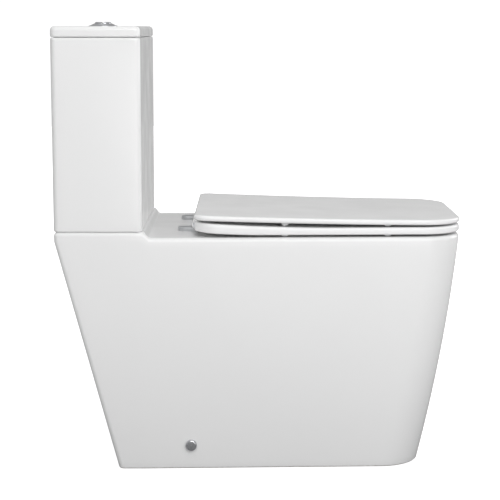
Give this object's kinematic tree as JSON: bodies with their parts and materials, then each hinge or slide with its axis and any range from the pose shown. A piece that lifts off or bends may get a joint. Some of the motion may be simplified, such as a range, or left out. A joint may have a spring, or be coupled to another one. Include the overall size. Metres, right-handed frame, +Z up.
{
  "type": "close coupled toilet",
  "caption": "Floor-standing white ceramic toilet with tapered skirted pan, slim soft-close seat and lid, and a box cistern with a chrome dual-flush button.",
  "frame": {"origin": "on the floor, under the centre of the toilet's overall box", "axes": "+Z up, the front of the pan faces -Y, the wall side faces +Y, X runs across the width"},
  "size_m": [0.3696, 0.694, 0.7605],
  "materials": {
    "ceramic": "glossy white glaze",
    "seat_white": "glossy white",
    "chrome": "polished",
    "steel": "bright",
    "white_plastic": "satin",
    "blue_plastic": "satin",
    "rubber": "matt",
    "clear_rubber": "translucent satin"
  },
  "bodies": {
    "toilet": {"pan": "ceramic", "floor_brackets": "white_plastic", "side_fixing_screws": "steel", "side_cap_left": "chrome", "side_cap_right": "chrome", "hinge_base_left": "chrome", "hinge_base_right": "chrome", "hinge_studs": "steel", "hinge_cone_washers": "rubber", "hinge_wing_nuts": "white_plastic", "hinge_pins": "steel", "cistern": "ceramic", "coupling_gasket": "rubber", "cistern_bolts": "steel", "cistern_bolt_seals": "rubber", "cistern_bolt_washers": "steel", "cistern_wing_nuts": "white_plastic", "flush_valve_base": "white_plastic", "flush_valve_washer": "rubber", "flush_valve_backnut": "white_plastic", "flush_valve_tower": "blue_plastic", "rocker_pin": "steel", "fill_valve_body": "white_plastic", "fill_valve_washer": "rubber", "fill_valve_backnut": "white_plastic", "fill_outlet_tube": "white_plastic", "fill_lever_pin": "steel", "blanking_plug": "white_plastic", "blanking_nut": "white_plastic"},
    "seat": {"seat_ring": "seat_white", "seat_buffers": "clear_rubber", "seat_dampers": "steel"},
    "lid": {"seat_lid": "seat_white", "seat_lid_buffers": "clear_rubber", "seat_lid_dampers": "steel"},
    "tank_lid": {"cistern_lid": "ceramic", "cistern_lid_pads": "clear_rubber", "button_collar": "chrome", "button_clamp_nut": "white_plastic"},
    "full_button": {"full_flush_button": "chrome", "full_flush_rod": "white_plastic", "full_flush_spring": "steel"},
    "half_button": {"half_flush_button": "chrome", "half_flush_rod": "white_plastic", "half_flush_spring": "steel"},
    "valve_lift": {"flush_lift_tube": "white_plastic", "flush_seal": "rubber"},
    "full_rocker": {"full_flush_rocker": "blue_plastic"},
    "half_rocker": {"half_flush_rocker": "blue_plastic"},
    "float": {"fill_float": "blue_plastic"},
    "float_lever": {"fill_lever": "blue_plastic"}
  },
  "joints": [
    {"name": "seat_hinge", "type": "hinge", "parent": "toilet", "child": "seat", "pos_m": [0, 0.11, 0.414], "axis": [-1, 0, 0], "range_deg": [0, 95]},
    {"name": "lid_hinge", "type": "hinge", "parent": "seat", "child": "lid", "pos_m": [0, 0.11, 0.414], "axis": [1, 0, 0], "range_deg": [-98, 0]},
    {"name": "cistern_lid_lift", "type": "slide", "parent": "toilet", "child": "tank_lid", "axis": [0, 0, 1], "range_m": [0, 0.2]},
    {"name": "full_flush_press", "type": "slide", "parent": "tank_lid", "child": "full_button", "axis": [0, 0, -1], "range_m": [0, 0.005], "stiffness_N_per_m": 300, "springref_m": -0.012, "deforming": ["full_flush_spring"]},
    {"name": "half_flush_press", "type": "slide", "parent": "tank_lid", "child": "half_button", "axis": [0, 0, -1], "range_m": [0, 0.005], "stiffness_N_per_m": 300, "springref_m": -0.012, "deforming": ["half_flush_spring"]},
    {"name": "flush_valve_lift", "type": "slide", "parent": "toilet", "child": "valve_lift", "axis": [0, 0, 1], "range_m": [0, 0.012]},
    {"name": "full_rocker_tilt", "type": "hinge", "parent": "toilet", "child": "full_rocker", "pos_m": [-0.01, 0.275, 0.676], "axis": [0, 1, 0], "range_deg": [0, 29]},
    {"name": "half_rocker_tilt", "type": "hinge", "parent": "toilet", "child": "half_rocker", "pos_m": [-0.01, 0.275, 0.676], "axis": [0, 1, 0], "range_deg": [0, 29]},
    {"name": "float_rise", "type": "slide", "parent": "toilet", "child": "float", "axis": [0, 0, 1], "range_m": [0, 0.02]},
    {"name": "lever_tilt", "type": "hinge", "parent": "toilet", "child": "float_lever", "pos_m": [-0.143, 0.275, 0.676], "axis": [0, -1, 0], "range_deg": [0, 26]}
  ],
  "couplings": [
    {"joint": "flush_valve_lift", "follows": "full_flush_press", "ratio": 2.4},
    {"joint": "full_rocker_tilt", "follows": "full_flush_press", "rad_per_m": 100},
    {"joint": "half_rocker_tilt", "follows": "half_flush_press", "rad_per_m": 100},
    {"joint": "lever_tilt", "follows": "float_rise", "rad_per_m": 22}
  ]
}
